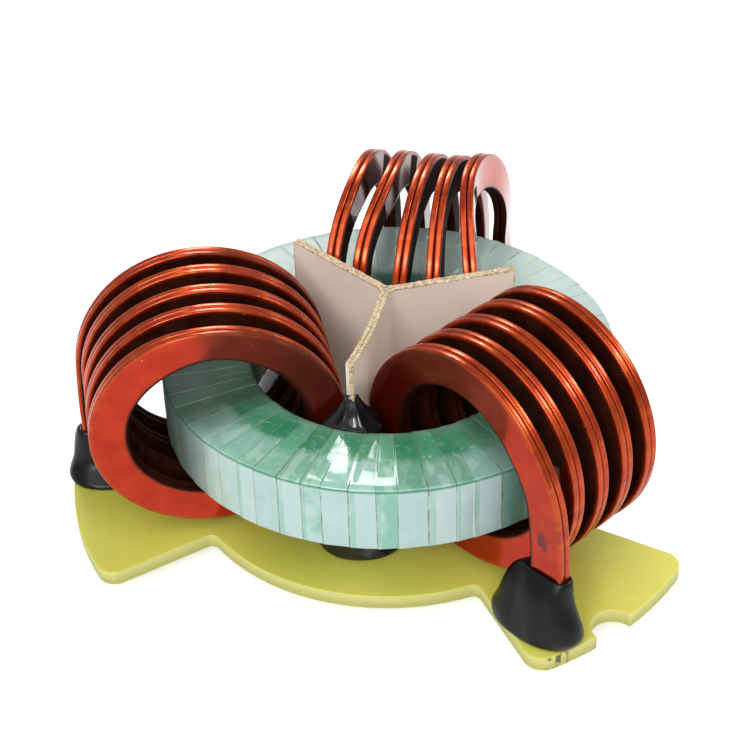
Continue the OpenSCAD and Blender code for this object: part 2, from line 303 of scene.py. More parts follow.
def enamelled_copper():
    """Red enamel over bright copper: satin and more orange on the wire's rounded edges, and painted
    shade, nearly black, between the turns. It has faint draw lines, a few dark specks, white dust,
    one purplish stain on a lead, and lies thick and clear on some faces of the back coil."""
    s = new_material("enamelled_copper")
    along, depth, edge, marked, inside, clear = [s.attribute(name) for name in WIRE_LAYERS]
    lines = draw_lines(s)
    lumps = s.noise(1.0, 2, s.vector(along * 420, depth * 500, 7))
    cloud = s.noise(230, 3)
    face = s.mix(cloud.over(0.3, 0.7), (0.47, 0.026, 0.007), (0.57, 0.040, 0.012))
    face = s.mix(lines.over(0.5, 0.8) * 0.30, face, (0.62, 0.060, 0.020))
    rim = s.mix(cloud.over(0.3, 0.7), (0.42, 0.036, 0.007), (0.57, 0.070, 0.010))
    rim = s.mix(lumps.over(0.45, 0.7) * 0.35, rim, (0.74, 0.160, 0.022))
    tone = s.mix(edge, face, rim)
    # Painted shade where other turns or the bore shut the wire in
    tone = s.mix(inside * 0.94, tone, (0.016, 0.002, 0.001))
    speck = s.spots(330).under(0.05, 0.11) * s.noise(60).over(0.56, 0.66)
    a = (along - 26.5 * mm) / (2.6 * mm)
    d = (depth - 4.1 * mm) / (1.3 * mm)
    stain = marked * (a * a + d * d + s.noise(900, 4) * 2 - 1).under(0.2, 1.1)
    near = marked * ((along - 36 * mm) / (10 * mm)).size().under(0.4, 1.0)
    speck = speck.most(near * s.spots(700).under(0.12, 0.22) * s.noise(300).over(0.50, 0.60))
    tone = s.mix(speck * 0.85, tone, (0.050, 0.010, 0.008))
    tone = s.mix(stain * 0.8, tone, (0.085, 0.030, 0.045))
    dust = s.spots(520).under(0.03, 0.06) * s.noise(75).over(0.52, 0.58)
    tone = s.mix(dust * 0.9, tone, (0.75, 0.70, 0.66))
    height = lines * 0.4 + s.noise(1300, 2) * 0.3
    normal = s.bump(lumps * edge, 0.05 * mm, 0.5, s.bump(height, 0.008 * mm, 0.5))
    metal = (0.95 - edge * 0.20) * (1 - inside * 0.6) * (1 - speck.most(dust))
    rough = 0.10 + cloud * 0.06 + edge * 0.15 + stain * 0.3 + dust * 0.4
    return s.surface(Base_Color=tone, Metallic=metal.clamped(), Roughness=rough.clamped(),
                     Specular_Tint=(0.90, 0.78, 0.75), Specular_IOR_Level=0.3,
                     Coat_Weight=(0.3 - inside * 0.28 + clear * 0.7).clamped(),
                     Coat_Roughness=0.08, Coat_IOR=1.5, Normal=normal)


def shaded_enamel():
    """The same enamel on the faces that other turns shut in, where hardly any light comes: its dark
    colour is painted shade.
    """
    s = new_material("shaded_enamel")
    cloud = s.noise(230, 3)
    tone = s.mix(cloud.over(0.3, 0.7), (0.020, 0.0040, 0.0022), (0.045, 0.0085, 0.0042))
    return s.surface(Base_Color=tone, Roughness=(0.5 + cloud * 0.2).clamped(), Specular_IOR_Level=0.04,
                     Normal=s.bump(draw_lines(s), 0.01 * mm, 0.5))


def tinned_copper():
    """Bright solder-dipped lead ends."""
    s = new_material("tinned_copper")
    runs = s.noise(700, 3, s.stretched(1, 1, 0.3))
    tone = s.mix(runs, (0.56, 0.56, 0.56), (0.78, 0.78, 0.77))
    return s.surface(Base_Color=tone, Metallic=1.0, Roughness=0.22 + runs * 0.2,
                     Normal=s.bump(runs, 0.08 * mm, 0.5))


LAPS = 60                                              # laps of tape round the ring
LAP_START = -0.06
# How the laps' widths vary: waves round the ring, size of each in laps, and where it starts
LAP_DRIFT = ((7, 0.08, 5.53), (11, 0.09, 2.22), (13, 0.09, 2.04), (17, 0.12, 5.21), (19, 0.19, 5.56))


def lap_count(angle, sine=sin):
    """Laps of tape up to an angle round the ring, a whole number at each lap's edge."""
    laps = angle * (LAPS / TAU) + LAP_START
    for times, amount, start in LAP_DRIFT:
        laps = laps + sine(angle * times + start) * amount
    return laps


def film_tape():
    """Glossy translucent green film. It is paler where air lies under it, partly painted glare, and in a
    painted sheen towards the back; deeper where it has wetted out; painted shade darkens it beside and
    under the coils, and dirt gathers along the laps' edges."""
    s = new_material("film_tape")
    x, y, z = s.xyz()
    angle = x.maths("ARCTAN2", y, x)
    r = (x * x + y * y).root()
    top = z.over(RING_TOP - 0.75 * mm, RING_TOP - 0.45 * mm)
    # Painted sheen: the top is paler towards the back
    back = y.over(-14 * mm, 12 * mm)
    wobble = (s.noise(110, 2) - 0.5) * 0.030 * r.under(30 * mm, 40 * mm)
    laps = lap_count(angle + wobble, lambda v: v.sine())
    lap = laps.floored()
    share = laps - lap
    own = s.chance(lap)
    other = s.chance(lap + 31.7)
    third = s.chance(lap + 77.3)
    cloud = s.noise(130, 4)
    fine = s.noise(800, 3)
    strip = share.over(0.035, 0.05) * share.under(0.20, 0.22) * other.over(0.35, 0.4)
    # Outer wall: pale aqua, some laps greener
    pale = s.mix(other * 0.6 + cloud * 0.4, (0.42, 0.610, 0.575), (0.56, 0.725, 0.700))
    green = s.mix(cloud, (0.20, 0.50, 0.38), (0.29, 0.59, 0.47))
    wall = s.mix((own + cloud * 0.5).over(1.02, 1.10), pale, green)
    wall = s.mix(strip * 0.6, wall, green)
    streak = s.noise(1.0, 4, s.vector(angle * 22, z * 160, lap * 3.1))
    wall = s.mix(streak.over(0.50, 0.75) * 0.35, wall, (0.66, 0.80, 0.77))
    # Top: green within, a pale band without, and white patches of clear outline where air lies, the band
    # and patches partly painted glare
    deep = s.mix((cloud * 0.7 + own * 0.5).over(0.3, 0.9), (0.050, 0.300, 0.150), (0.155, 0.470, 0.290))
    deep = s.mix(fine.over(0.54, 0.72) * 0.35, deep, (0.45, 0.70, 0.58))
    bend = r + (s.noise(170, 3) - 0.5) * 2.6 * mm
    band = bend.over(33.6 * mm + own * 2 * mm, 36.2 * mm + own * 2 * mm) * (0.35 + third * 0.6)
    aqua = s.mix(s.noise(90, 2), (0.28, 0.57, 0.47), (0.44, 0.70, 0.62))
    upper = s.mix(band.clamped(), deep, aqua)
    beside = share + (s.noise(300, 1) - 0.5) * 0.3
    glare_and_air_patch = s.noise(1.0, 2, s.vector(lap * 9.7, beside * 2.2, r * 260)).over(0.52, 0.54)
    glare_and_air_patch = glare_and_air_patch * (r + (fine - 0.5) * 1.2 * mm).over(34.2 * mm, 34.8 * mm) * beside.over(0.10, 0.13)
    upper = s.mix(glare_and_air_patch * (0.15 + other * 0.30), upper, (0.60, 0.80, 0.71))
    # Creased and greyer towards the hole, paler towards the back as a painted sheen, and painted shade
    # beside and under the coils
    crease = (r.under(27.4 * mm, 30.5 * mm) * (0.35 + s.noise(240, 4) * 0.8)).clamped()
    upper = s.mix(crease * 0.45, upper, (0.30, 0.40, 0.35))
    upper = s.mix(back * 0.72, upper, (0.64, 0.740, 0.700))
    tone = s.mix(top, wall, upper)
    rim = z.over(RING_TOP - 0.95 * mm, RING_TOP - 0.75 * mm)
    rim = rim * z.under(RING_TOP - 0.50 * mm, RING_TOP - 0.35 * mm)
    tone = s.mix(rim * r.over(42.6 * mm, 43.0 * mm) * 0.65, tone, (0.050, 0.30, 0.17))
    # Painted shade beside and under each coil
    under_c = (angle + 2.62).size().under(0.22, 0.60)
    under_a = (angle + 0.56).size().under(0.16, 0.34)
    under_b = (angle - 1.63).size().under(0.20, 0.42)
    painted_shade_by_coils = under_c.most(under_a * 0.7).most(under_b * 0.45)
    tone = s.mix(painted_shade_by_coils * 0.88, tone, s.mix(cloud, (0.016, 0.030, 0.022), (0.050, 0.098, 0.066)))
    # Edges of the laps, cream on the left and, with the painted sheen, at the back, and brown in front,
    # with dirt in places
    line = share.under(0.015, 0.04).most(share.over(0.970, 0.988))
    dirt = s.noise(1.0, 3, s.vector(lap * 5.3, z * 300, r * 200)).over(0.42, 0.62)
    left = angle.under(-2.05, -1.85)
    clean = s.mix(left.most(y.over(-14 * mm, 0)), (0.20, 0.19, 0.12), (0.50, 0.56, 0.44))
    soiled = s.mix(dirt * (1 - left * 0.7), clean, (0.13, 0.075, 0.030))
    tone = s.mix(line * (0.35 + dirt * 0.5), tone, soiled)
    stain = s.spots(170).under(0.05, 0.13) * s.noise(60).over(0.55, 0.60) * fine.over(0.35, 0.6)
    tone = s.mix(stain * 0.8, tone, (0.26, 0.14, 0.05))
    # The wrap falls away towards its outer edge, and ripples
    fall = (r - 33 * mm).most(0)
    normal = s.bump(fall * fall * (-5.2) * z.over(RING_TOP - 0.6 * mm, RING_TOP - 0.3 * mm), 1.0)
    normal = s.bump(s.noise(150, 3, distortion=0.5), 0.45 * mm, 0.35, normal)
    normal = s.bump(s.noise(1.0, 2, s.vector(lap * 7.7, r * 260, z * 260)), 0.35 * mm, 0.4, normal)
    normal = s.bump(s.noise(2600, 1) + line * 0.6, 0.03 * mm, 0.3, normal)
    dull = painted_shade_by_coils.most(back * 0.7)
    rough = 0.12 + own * 0.08 + stain * 0.4 + crease * 0.15 + cloud * 0.08 + dull * 0.5
    return s.surface(Base_Color=tone, Roughness=rough.clamped(), IOR=1.5,
                     Coat_Weight=(0.5 - dull * 0.6).clamped(), Coat_Roughness=0.05, Normal=normal)


def pressboard():
    """Pinkish beige board, with brown fibres on its cut edges."""
    s = new_material("pressboard")
    x, y, z = s.xyz()
    r = (x * x + y * y).root()
    cloud = s.noise(60, 5)
    fibre = s.noise(900, 4, s.stretched(1, 1, 0.3))
    tone = s.mix(cloud.over(0.25, 0.75), (0.86, 0.740, 0.620), (0.93, 0.820, 0.710))
    tone = s.mix(fibre.over(0.4, 0.8) * 0.4, tone, (0.95, 0.860, 0.770))
    grime = s.noise(180, 4).over(0.60, 0.80)
    tone = s.mix(grime * 0.15, tone, (0.60, 0.480, 0.380))
    fuzz = (s.noise(1500, 3) - 0.5) * (1.1 * mm)
    cut = (z + fuzz).over(DIVIDER_TOP - 0.40 * mm, DIVIDER_TOP - 0.10 * mm)
    cut = cut.most((r + fuzz).over(ARM_LEN - 0.45 * mm, ARM_LEN - 0.15 * mm))
    ochre = s.mix(s.noise(3000, 4).over(0.36, 0.64), (0.34, 0.200, 0.080), (0.78, 0.620, 0.390))
    tone = s.mix(cut * 0.9, tone, ochre)
    # Epoxy that crept up the end of the front arm
    creep = (x + 0.55 * mm).size().under(0.25 * mm, 0.40 * mm) * y.under(-24.75 * mm, -24.6 * mm)
    creep = creep * (z + fuzz * 2).under(39.3 * mm, 39.6 * mm)
    tone = s.mix(creep * 0.95, tone, (0.010, 0.010, 0.011))
    height = fibre * 0.6 + s.noise(300, 3) * 0.4 + cut * s.noise(1800, 3) * 3
    return s.surface(Base_Color=tone, Roughness=0.82, Specular_IOR_Level=0.25,
                     Normal=s.bump(height, 0.10 * mm, 0.5))


def glass_epoxy():
    """Yellow glass-cloth laminate, a little translucent, with its plies at the sawn edge."""
    s = new_material("glass_epoxy")
    x, y, z = s.xyz()
    cloud = s.noise(25, 4)
    tone = s.mix(cloud.over(0.30, 0.70), (0.62, 0.600, 0.080), (0.78, 0.740, 0.140))
    cloth = [s.add("ShaderNodeTexWave", {"wave_type": "BANDS", "bands_direction": way},
                   {"Vector": s.here(), "Scale": 480, "Distortion": 1.5, "Detail": 1}, "Fac")
             for way in "XY"]
    weave = cloth[0] * cloth[1]
    tone = s.mix(weave * 0.06, tone, (0.85, 0.83, 0.32))
    facing = s.add("ShaderNodeNewGeometry", {}, {}, "Normal")
    upright = s.add("ShaderNodeSeparateXYZ", {}, {0: facing}, "Z")
    sawn = upright.size().under(0.3, 0.75)
    ply = (z * (TAU / (0.5 * mm))).sine().over(-0.2, 0.9)
    edge = s.mix(z.over(0.4 * mm, 2.6 * mm), (0.52, 0.51, 0.17), (0.76, 0.74, 0.32))
    tone = s.mix(sawn * 0.7, tone, s.mix(ply * 0.4, edge, (0.42, 0.41, 0.14)))
    grit = s.spots(240).under(0.05, 0.12) * s.noise(40).over(0.55, 0.66)
    tone = s.mix(grit * 0.6, tone, (0.20, 0.17, 0.06))
    # A few chips with dark dirt in them, low on the first lobe's rim
    a, b = (x - 43.6 * mm) / (3.4 * mm), (y + 46.3 * mm) / (2.2 * mm)
    ragged = s.noise(620, 3, s.stretched(1, 1, 0.7)).over(0.50, 0.58)
    chip = (a * a + b * b).under(0.3, 1.0) * ragged * sawn
    tone = s.mix(chip * 0.85, tone, (0.050, 0.045, 0.035))
    height = weave * 0.5 + s.noise(400, 3) * 0.6 + sawn * s.noise(1800, 2) * 1.5 - chip * 3
    return s.surface(Base_Color=tone, Roughness=(0.32 + cloud * 0.12 + sawn * 0.3).clamped(),
                     Subsurface_Weight=0.3, Subsurface_Radius=(1.0, 0.9, 0.3), Subsurface_Scale=1.5 * mm,
                     Coat_Weight=0.15, Coat_Roughness=0.2, Normal=s.bump(height, 0.04 * mm, 0.5))


def boot_rubber():
    """Satin black moulded rubber with a dusty bloom."""
    s = new_material("boot_rubber")
    cloud = s.noise(160, 4)
    bloom = s.noise(600, 5).over(0.55, 0.8)
    tone = s.mix(cloud, (0.003, 0.003, 0.004), (0.007, 0.007, 0.008))
    tone = s.mix(bloom * 0.06, tone, (0.07, 0.07, 0.075))
    height = s.noise(1300, 3) * 0.3 + cloud * 1.2
    return s.surface(Base_Color=tone, Roughness=(0.22 + cloud * 0.16 + bloom * 0.15).clamped(),
                     Specular_IOR_Level=0.28, Normal=s.bump(height, 0.16 * mm, 0.6))


def epoxy_potting():
    """Glossy black epoxy that set as it ran."""
    s = new_material("epoxy_potting")
    cloud = s.noise(260, 3)
    dust = s.noise(1500, 3).over(0.66, 0.8)
    tone = s.mix(cloud, (0.006, 0.006, 0.007), (0.014, 0.014, 0.016))
    tone = s.mix(dust * 0.15, tone, (0.12, 0.12, 0.12))
    return s.surface(Base_Color=tone, Roughness=(0.10 + cloud * 0.12 + dust * 0.2).clamped(),
                     Specular_IOR_Level=0.5, Coat_Weight=0.3, Coat_Roughness=0.05,
                     Normal=s.bump(cloud, 0.4 * mm, 0.5))


def sintered_ferrite():
    """Dull grey ferrite."""
    s = new_material("sintered_ferrite")
    cloud = s.noise(200, 4)
    tone = s.mix(cloud, (0.035, 0.036, 0.040), (0.075, 0.076, 0.082))
    return s.surface(Base_Color=tone, Roughness=0.6 + cloud * 0.2,
                     Normal=s.bump(s.noise(1800, 3), 0.05 * mm, 0.4))


# ---------- mesh helpers ----------

def finished(name, bm, materials, replaced, smooth=True):
    """Turns a bmesh into a piece that rides on the part and stands for CAD nodes."""
    bmesh.ops.recalc_face_normals(bm, faces=bm.faces)
    mesh = bpy.data.meshes.new(name)
    bm.to_mesh(mesh)
    bm.free()
    for material in materials:
        mesh.materials.append(material)
    for polygon in mesh.polygons:
        polygon.use_smooth = smooth
    piece = placed(name, mesh)
    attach(piece, "root")
    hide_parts(*replaced)
    return piece


def ease(share):
    share = min(max(share, 0.0), 1.0)
    return share * share * (3 - 2 * share)


def wander(place, size, seed):
    """Smooth random number from about -1 to 1, that changes over the given size."""
    return noise.noise(place / size + Vector((seed * 17.3, seed * 5.1, seed * 9.7)))


def start_loop(bm, points):
    verts = [bm.verts.new(p) for p in points]
    return [bm.edges.new((a, b)) for a, b in zip(verts, verts[1:] + verts[:1])], verts


def grow(bm, edges):
    """Extrudes a loop or a chain of edges; returns its new edges and verts."""
    made = bmesh.ops.extrude_edge_only(bm, edges=edges)["geom"]
    verts = [v for v in made if isinstance(v, bmesh.types.BMVert)]
    inside = set(verts)
    new = [e for e in made if isinstance(e, bmesh.types.BMEdge)
           and e.verts[0] in inside and e.verts[1] in inside]
    return new, verts


def follow(bm, edges, here, ahead):
    """Extrudes a loop of edges and carries it from one place to the next."""
    edges, verts = grow(bm, edges)
    bmesh.ops.transform(bm, matrix=ahead @ here.inverted_safe(), verts=verts)
    return edges, verts


def smooth_out(piece, levels):
    modifier = piece.modifiers.new("smooth", "SUBSURF")
    modifier.levels = levels
    modifier.render_levels = levels


# ---------- coils ----------

PART_ANGLE = radians(50)                               # where the outer lead leaves the coil's curve
PART_TOP = COIL_AXIS_Z + COIL_HALF_H * sin(PART_ANGLE)
PART_END = PLATE_TOP + BOOT_H + 1.5 * mm
TURN_STEPS = 96
INNER_LEAD_STEPS = 15
WIRE_SWELL = 0.12 * mm                                 # how far it strays from its coil's outline,
WIRE_STRAY = 0.16 * mm                                 # and along the coil,
WIRE_TILT = 0.025                                      # and how far it leans, as a slope


def wire_section():
    """Outline of the flat wire as (depth from the outside of the coil, place across the wire)."""
    corner, steps, inset = WIRE_CORNER_R, 4, 0.9 * mm
    outline = []
    far, high = WIRE_W - corner, WIRE_T - corner
    for depth, across, start in ((corner, corner, pi), (far, corner, 1.5 * pi),
                                 (far, high, 0), (corner, high, 0.5 * pi)):
        for k in range(steps + 1):
            angle = start + k * pi / 2 / steps
            outline.append((depth + corner * cos(angle), across + corner * sin(angle)))
        if start == pi:
            outline += [(inset, 0.0), (WIRE_W - inset, 0.0)]
        if start == 0:
            outline += [(WIRE_W - inset, WIRE_T), (inset, WIRE_T)]
    return outline


def parting(z):
    return ease((PART_TOP - z) / (PART_TOP - PART_END))


def drift(coil, angle):
    """How far the wire lies along the coil and up, and its lean, at an angle round it. A lean
    comes on sharply just before the top."""
    quarter = angle / (pi / 2)
    low = floor(quarter)
    share = ease((quarter - low) * (coil.haste[low // 4] if low % 4 == 1 else 1))

    def knot(count):
        passes, side = divmod(count, 4)
        if 0 <= passes < len(coil.tops) and side == 1:
            along, up, lean = coil.tops[passes]
            return along * mm, up * mm, lean
        if 0 <= passes < len(coil.insides) and side == 2:
            along, lean = coil.insides[passes]
            return along * mm, 0.0, lean
        return (coil.lead_along if count == 0 else 0.0), 0.0, 0.0

    here, ahead = knot(low), knot(low + 1)
    shift, rise, lean = [a + (b - a) * share for a, b in zip(here, ahead)]
    if low % 4 == 0:
        lean = ahead[2] * share ** 6
    return shift, rise, lean


def wire_places(coil, first_wire):
    """Places of the wire's section, from the outer lead's end to the inner lead's end, and how many
    turns lie before each."""
    start = (0 if first_wire else WIRE_STEP) - COIL_HALF_LEN
    places, turns = [], []

    def outer(z):
        share = parting(z)
        x, y = coil.half_w + share * LEAD_OUT, start + share * LEAD_LEAN
        y += coil.lead_along * ease((z - PLATE_TOP - BOOT_H) / (9 * mm))
        return Matrix(((-1, 0, 0, x), (0, 1, 0, y), (0, 0, 1, z), (0, 0, 0, 1)))

    lead = [STANDS_AT, -0.5 * mm, 0.2 * mm]
    lead += [PLATE_TOP + (PART_END - PLATE_TOP) * k / 12 for k in range(12)]
    lead += [PART_END + (COIL_AXIS_Z - PART_END) * k / 10 for k in range(10)]
    places += [outer(z) for z in lead]
    turns += [0.0] * len(lead)
    for k in range(int(TURNS * TURN_STEPS) + 1):
        angle = TAU * k / TURN_STEPS
        c, s = cos(angle), sin(angle)
        share = parting(COIL_AXIS_Z + COIL_HALF_H * s) if angle < PART_ANGLE else 0
        shift, rise, lean = drift(coil, angle)
        swell = WIRE_SWELL * noise.noise(Vector((angle * 0.8, coil.seed * 7, 0.5)))
        tilt = lean + WIRE_TILT * noise.noise(Vector((angle * 0.5, coil.seed * 11, 4.5)))
        settled = ease(angle / 0.5) * ease((TAU * TURNS - angle) / 0.5)
        x = (coil.half_w + swell * settled) * c + share * LEAD_OUT
        stray = WIRE_STRAY * noise.noise(Vector((angle * 0.6, coil.seed * 3, 1.5))) - tilt * WIRE_W / 2
        y = start + TURN_PITCH * angle / TAU + share * LEAD_LEAN + shift + stray * settled
        z = COIL_AXIS_Z + (COIL_HALF_H + swell * settled) * s + rise
        places.append(Matrix(((-c, 0, -s, x), (tilt * settled, 1, 0, y), (-s, 0, c, z), (0, 0, 0, 1))))
        turns.append(angle / TAU)
    end = start + TURN_PITCH * TURNS
    for k in range(1, INNER_LEAD_STEPS + 1):
        z = COIL_AXIS_Z + (STANDS_AT - COIL_AXIS_Z) * k / INNER_LEAD_STEPS
        y = end + coil.insides[-1][0] * mm * ease((z - PLATE_TOP - 6 * mm) / (12 * mm))
        places.append(Matrix(((1, 0, 0, -coil.half_w), (0, 1, 0, y), (0, 0, -1, z), (0, 0, 0, 1))))
        turns.append(TURNS)
    return [coil.place @ place for place in places], turns


def shade_where_shut_in(number, turns, depth, across):
    """How much painted shade the enamel gets: 1 for a part of the wire that other turns or the bore shut
    in, 0 for one in the open.
    """
    deep = ease((depth - 0.40 * mm) / (0.45 * mm))
    if depth > WIRE_W - 0.6 * mm:
        return 1.0
    if across < 0.05 * mm and number == 1:
        return deep * ease((turns - 0.9) / 0.2)
    if across > WIRE_T - 0.05 * mm and number == 2:
        return deep * ease((TURNS - 0.9 - turns) / 0.2)
    return deep


# Coil, wire and side of the two front end faces, whose enamel is painted darker past the top: a painted
# dark reflection
END_FACES = [("a", 1, True), ("c", 2, False)]
# Turns of the back coil at which its faces are in the open, under thick clear enamel: half the
# length of each, and how much painted shade it still gets
LIT_FACES = [(1.0, 0.13, 0.40), (3.0, 0.13, 0.72), (3.25, 0.07, 0.82), (4.25, 0.09, 0.76)]


def make_wire(coil, number, materials):
    bm = bmesh.new()
    layers = {name: bm.verts.layers.float.new(name) for name in WIRE_LAYERS}
    places, turns = wire_places(coil, number == 1)
    outline = wire_section()
    edges, verts = start_loop(bm, [places[0] @ Vector((depth, across, 0)) for depth, across in outline])
    for vert, (depth, across) in zip(verts, outline):
        vert[layers["depth"]] = depth
        vert[layers["edge"]] = 1.0 if min(depth, WIRE_W - depth) < 0.6 * mm else 0.0
        vert[layers["marked"]] = 1.0 if (coil.letter, number) == ("a", 1) else 0.0
    first = edges
    length = 0.0
    for here, ahead, turn in zip(places, places[1:], turns[1:]):
        edges, verts = follow(bm, edges, here, ahead)
        length += (ahead.translation - here.translation).length
        back = ahead.inverted_safe()
        for vert in verts:
            vert[layers["along"]] = length
            depth, across, _ = back @ vert.co
            shut = shade_where_shut_in(number, turn, depth, across)
            # Past the top of the two front end faces, painted shade stands in for a dark reflection
            passed = turn % 1.0 if (coil.letter, number, across < 0.05 * mm) in END_FACES else 0.0
            if shut == 0 and not 0.6 < turn < TURNS - 0.4:
                shut = 0.60 * ease((passed - 0.225) / 0.03) + 0.28 * ease((passed - 0.30) / 0.10)
            # The back coil's open faces: less painted shade, and thick clear enamel
            if coil.letter == "b" and number == 1 and across < 0.05 * mm:
                clear = ease((0.9 - turn) / 0.2)
                for lit, half, shade in LIT_FACES:
                    near = ease((half - abs(turn - lit)) / 0.04 + 0.5)
                    shut += (shade - shut) * near
                    clear = max(clear, near)
                vert[layers["clear"]] = clear
            vert[layers["inside"]] = shut
    bmesh.ops.holes_fill(bm, edges=first + edges, sides=0)
    # Tinned lead ends take the second material, and faces deep in painted shade the third, dark one
    for face in bm.faces:
        if face.calc_center_median().z < 0:
            face.material_index = 1
        elif sum(vert[layers["inside"]] for vert in face.verts) > 0.9 * len(face.verts):
            face.material_index = 2
    return finished(f"flat_wire_{coil.letter}{number}", bm, materials,
                    [f"coil_{coil.letter}_wire_{number}"])


# ---------- taped ring ----------

def ring_profile():
    """Section of the taped ring as (distance from the axis, height), anticlockwise."""
    inner, outer, low, high = RING_HOLE_R, RING_R, RING_LOW, RING_TOP
    ro, ri = RING_OUTER_EDGE_R, RING_INNER_EDGE_R

    def corner(r, z, radius, start):
        turned = [radians(start + 18 * k) for k in range(6)]
        return [(r + radius * cos(angle), z + radius * sin(angle)) for angle in turned]

    def between(first, last, steps):
        return [tuple(a + (b - a) * k / steps for a, b in zip(first, last)) for k in range(1, steps)]

    corners = [corner(outer - ro, low + ro, ro, -90), corner(outer - ro, high - ro, ro, 0),
               corner(inner + ri, high - ri, ri, 90), corner(inner + ri, low + ri, ri, 180)]
    points = []
    for here, ahead, steps in zip(corners, corners[1:] + corners[:1], (7, 12, 6, 6)):
        points += here + between(here[-1], ahead[0], steps)
    return points


RING_STEPS = 1080                                      # 18 to each lap
LAP_T = 0.08 * mm


def make_tape(material):
    """The ring's wrap, each lap's edge standing a film's thickness above the next lap."""
    bm = bmesh.new()
    loop, profile = start_loop(bm, [(r, 0, z) for r, z in ring_profile()])
    bmesh.ops.spin(bm, geom=profile + loop, cent=(0, 0, 0), axis=(0, 0, 1), angle=TAU,
                   steps=RING_STEPS, use_merge=True, use_duplicate=False)
    bmesh.ops.recalc_face_normals(bm, faces=bm.faces)
    bm.normal_update()
    moves = []
    for vert in bm.verts:
        laps = lap_count(atan2(vert.co.y, vert.co.x))
        lap = floor(laps)
        lift = -LAP_T * (laps - lap) - 0.06 * mm + 0.12 * mm * wander(vert.co, 6 * mm, lap * 0.37)
        moves.append((vert, vert.normal * lift))
    for vert, move in moves:
        vert.co += move
    return finished("lapped_tape", bm, [material], ["tape_wrap"])


# ---------- divider ----------

# How much each sheet's first and second arm is cut short
SHEET_ENDS = {"a": (0.0, 0.1 * mm), "b": (0.0, 0.0), "c": (0.1 * mm, 0.55 * mm)}
ARM_STEPS = 56
SHEET_LEVELS = 24


def make_divider_sheet(letter, material):
    """A sheet folded to 120 degrees, between two arms, standing on the plate."""
    start = ARM_AZIMUTH[letter]
    middle = start + radians(60)
    bm = bmesh.new()
    off = GLUE_GAP / 2 + BOARD_T
    corner = Vector((cos(middle), sin(middle), 0)) * (off / sin(radians(60)))
    arms = []
    first_short, second_short = SHEET_ENDS[letter]
    for turned, side, short in ((start, 1, first_short), (start + radians(120), -1, second_short)):
        ahead = Vector((cos(turned), sin(turned), 0))
        beside = Vector((-sin(turned), cos(turned), 0)) * side * off
        reach = ahead * (ARM_LEN - short)
        arms.append([reach * (1 - k / ARM_STEPS) + beside for k in range(ARM_STEPS - 2)])
    line = arms[0] + [corner] + arms[1][::-1]
    for _ in range(3):                                 # rounds the fold
        bent = [b * 0.5 + (a + c) * 0.25 for a, b, c in zip(line, line[1:], line[2:])]
        line = line[:1] + bent + line[-1:]
    verts = [bm.verts.new((p.x, p.y, PLATE_TOP)) for p in line]
    edges = [bm.edges.new(pair) for pair in zip(verts, verts[1:])]
    height = DIVIDER_TOP - PLATE_TOP
    levels = [height * k / SHEET_LEVELS for k in range(1, SHEET_LEVELS)]
    levels += [height - 0.5 * mm, height - 0.2 * mm, height]
    here = Matrix.Identity(4)
    for level in levels:
        ahead = Matrix.Translation((0, 0, level))
        edges, _ = follow(bm, edges, here, ahead)
        here = ahead
    bmesh.ops.recalc_face_normals(bm, faces=bm.faces)
    outward = Vector((cos(middle), sin(middle), 0))
    if sum(face.normal.dot(outward) for face in bm.faces) < 0:
        bmesh.ops.reverse_faces(bm, faces=bm.faces)
    bmesh.ops.solidify(bm, geom=bm.faces[:], thickness=BOARD_T)
    for vert in bm.verts:
        high = ease((vert.co.z - PLATE_TOP) / height)
        vert.co += outward * (0.10 * mm * wander(vert.co, 12 * mm, 3.0) * high)
        if vert.co.z > DIVIDER_TOP - 0.1 * mm:
            vert.co.z += 0.22 * mm * wander(vert.co, 0.7 * mm, 5.0) - 0.10 * mm
        if vert.co.y < 0 and abs(vert.co.x) < 2 * mm:  # the front arm bows
            vert.co.x += 0.65 * mm * high * sin(pi * min(1.0, -vert.co.y / ARM_LEN) ** 1.3)
    return finished(f"divider_board_{letter}", bm, [material],
                    [f"divider_sheet_{letter}"], smooth=False)


# ---------- base plate ----------

def make_plate(material):
    """The plate, with the burrs taken off its sawn edges."""
    bm = bmesh.new()
    bm.from_mesh(frame["nodes"]["base_plate"].data)
    bmesh.ops.remove_doubles(bm, verts=bm.verts, dist=0.001 * mm)
    bmesh.ops.dissolve_limit(bm, angle_limit=radians(1), verts=bm.verts, edges=bm.edges)
    rims = [e for e in bm.edges if len(e.link_faces) == 2 and e.calc_face_angle() > radians(60)
            and abs(e.verts[0].co.z - e.verts[1].co.z) < 0.01 * mm]
    bmesh.ops.bevel(bm, geom=rims, offset=0.16 * mm, offset_type="OFFSET", segments=3, profile=0.5,
                    affect="EDGES", clamp_overlap=True, material=-1)
    return finished("lobed_plate", bm, [material], ["base_plate"])


# ---------- boots and potting ----------

def lead_middle(kind, letter):
    """Middle of a lead where it meets the plate's top, from the record's mounts."""
    for mount in frame["record"]["mounts"]:
        if mount["name"] == f"{kind}_lead_{letter}":
            x, y, _ = mount["pos_m"]
            return Vector((x, y, PLATE_TOP))
    raise ValueError(f"no {kind} lead {letter}")


def tube(bm, loops):
    """Skin over loops of points that all have the same count, each extruded from the last."""
    edges, verts = start_loop(bm, loops[0])
    first = edges
    for points in loops[1:]:
        before = verts
        edges, new = grow(bm, edges)
        ahead = {}
        for vert in new:
            for edge in vert.link_edges:
                other = edge.other_vert(vert)
                if other not in new:
                    ahead[other] = vert
        verts = [ahead[vert] for vert in before]
        for vert, point in zip(verts, points):
            vert.co = point
    return first, edges


